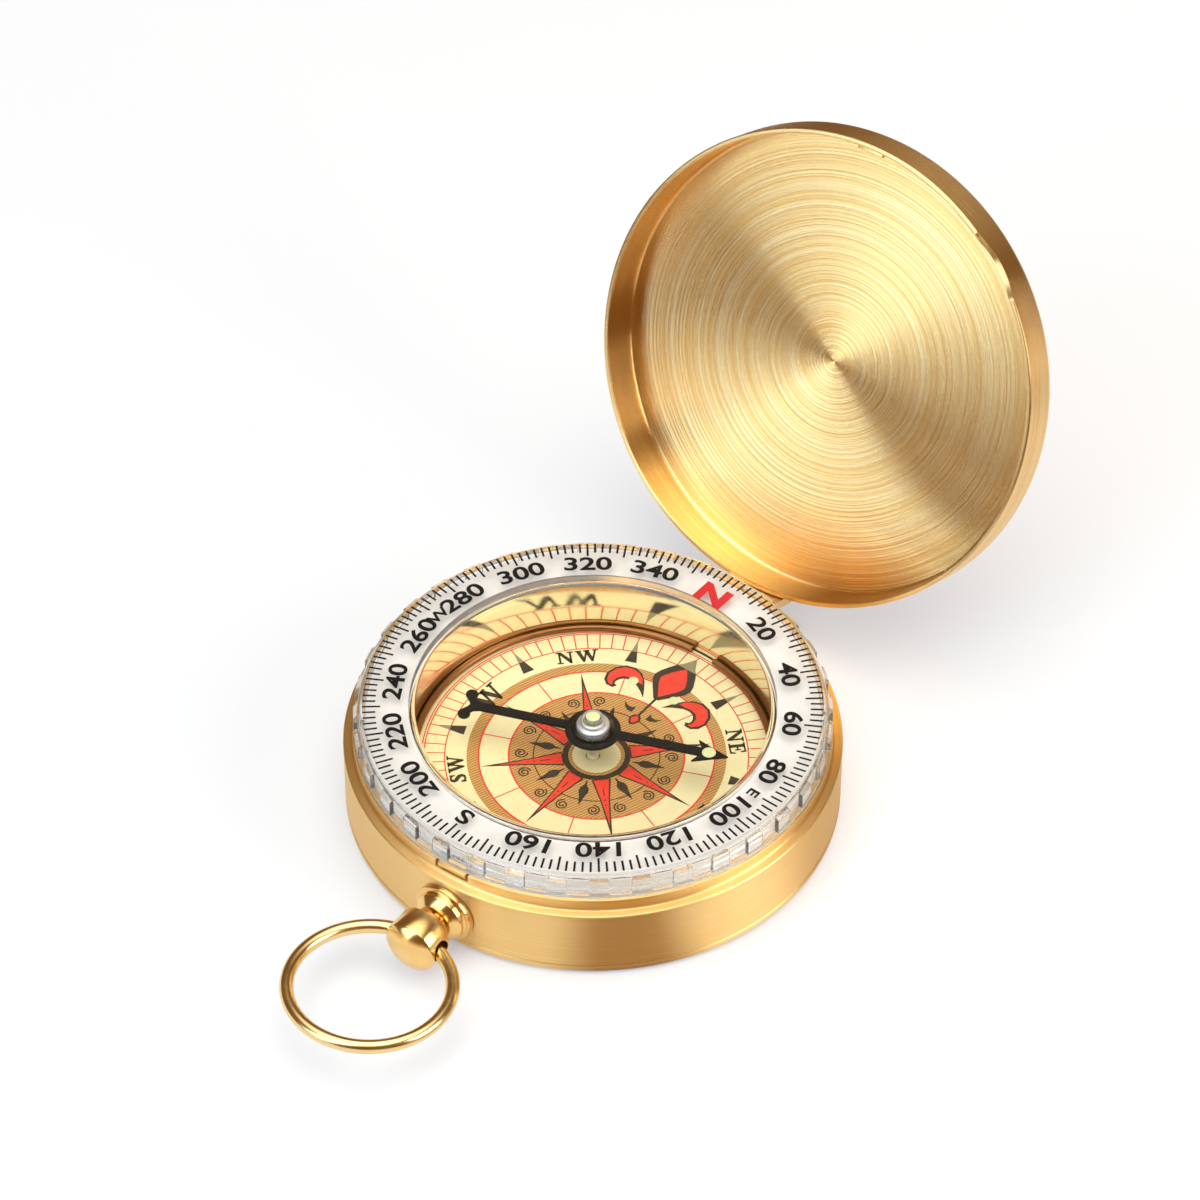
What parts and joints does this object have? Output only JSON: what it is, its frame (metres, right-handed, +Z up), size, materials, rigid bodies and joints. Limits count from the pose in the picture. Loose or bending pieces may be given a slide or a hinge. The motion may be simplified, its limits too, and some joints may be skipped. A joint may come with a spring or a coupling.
{
  "type": "hiking compass",
  "caption": "Round brass pocket compass with a hinged lid, a turning clear bezel, a pivoted needle over a printed dial, and a push crown with a bow ring.",
  "frame": {"origin": "centre of the case's flat base", "axes": "+Z up along the case's axis, +Y towards the hinge (north on the dial), -Y towards the crown, +X to the right"},
  "size_m": [0.05, 0.0989, 0.0513],
  "materials": {
    "satin_brass": "circular brushed satin",
    "polished_brass": "polished",
    "bronze_wire": "drawn wire",
    "steel": "bright",
    "clear_acrylic": "clear moulded acrylic",
    "luminous_white": "pearly luminous",
    "lume_paint": "luminous paint",
    "dial_print": "printed card",
    "black_paint": "satin black paint"
  },
  "bodies": {
    "case": {"case_shell": "satin_brass", "carrier_ring": "luminous_white", "luminous_ring": "luminous_white", "capsule_cup": "clear_acrylic", "crystal": "clear_acrylic", "dial_card": "dial_print", "dial_snap_ring": "bronze_wire", "dial_lume_dot_left": "lume_paint", "dial_lume_dot_right": "lume_paint", "pivot_base": "dial_print", "pivot_pin": "steel", "case_hinge_left": "satin_brass", "case_hinge_right": "satin_brass", "hinge_pin": "steel", "pendant_neck": "polished_brass", "crown_spring": "steel"},
    "lid": {"lid_shell": "satin_brass", "lid_hinge_leaf": "satin_brass", "lid_catch": "satin_brass"},
    "bezel": {"bezel_ring": "clear_acrylic"},
    "needle": {"needle": "black_paint", "needle_lume_dot": "lume_paint", "needle_hub": "clear_acrylic", "jewel_bearing": "steel", "hub_lume_dot": "lume_paint"},
    "crown": {"crown_head": "polished_brass", "crown_stem": "polished_brass", "latch_plate": "satin_brass"},
    "bow": {"bow_ring": "polished_brass"}
  },
  "joints": [
    {"name": "lid_hinge", "type": "hinge", "parent": "case", "child": "lid", "pos_m": [0, 0.0261, 0.0053], "axis": [1, 0, 0], "range_deg": [0, 112.6]},
    {"name": "bezel_turn", "type": "hinge", "parent": "case", "child": "bezel", "pos_m": [0, 0, 0], "axis": [0, 0, 1], "continuous": true},
    {"name": "needle_swing", "type": "hinge", "parent": "case", "child": "needle", "pos_m": [0, 0, 0], "axis": [0, 0, 1], "continuous": true},
    {"name": "crown_push", "type": "slide", "parent": "case", "child": "crown", "axis": [0, 1, 0], "range_m": [0, 0.0005], "stiffness_N_per_m": 800, "springref_m": -0.001, "deforming": ["crown_spring"]},
    {"name": "bow_swing", "type": "hinge", "parent": "crown", "child": "bow", "pos_m": [0, -0.02965, 0.0043], "axis": [1, 0, 0], "range_deg": [-100, 100]}
  ]
}
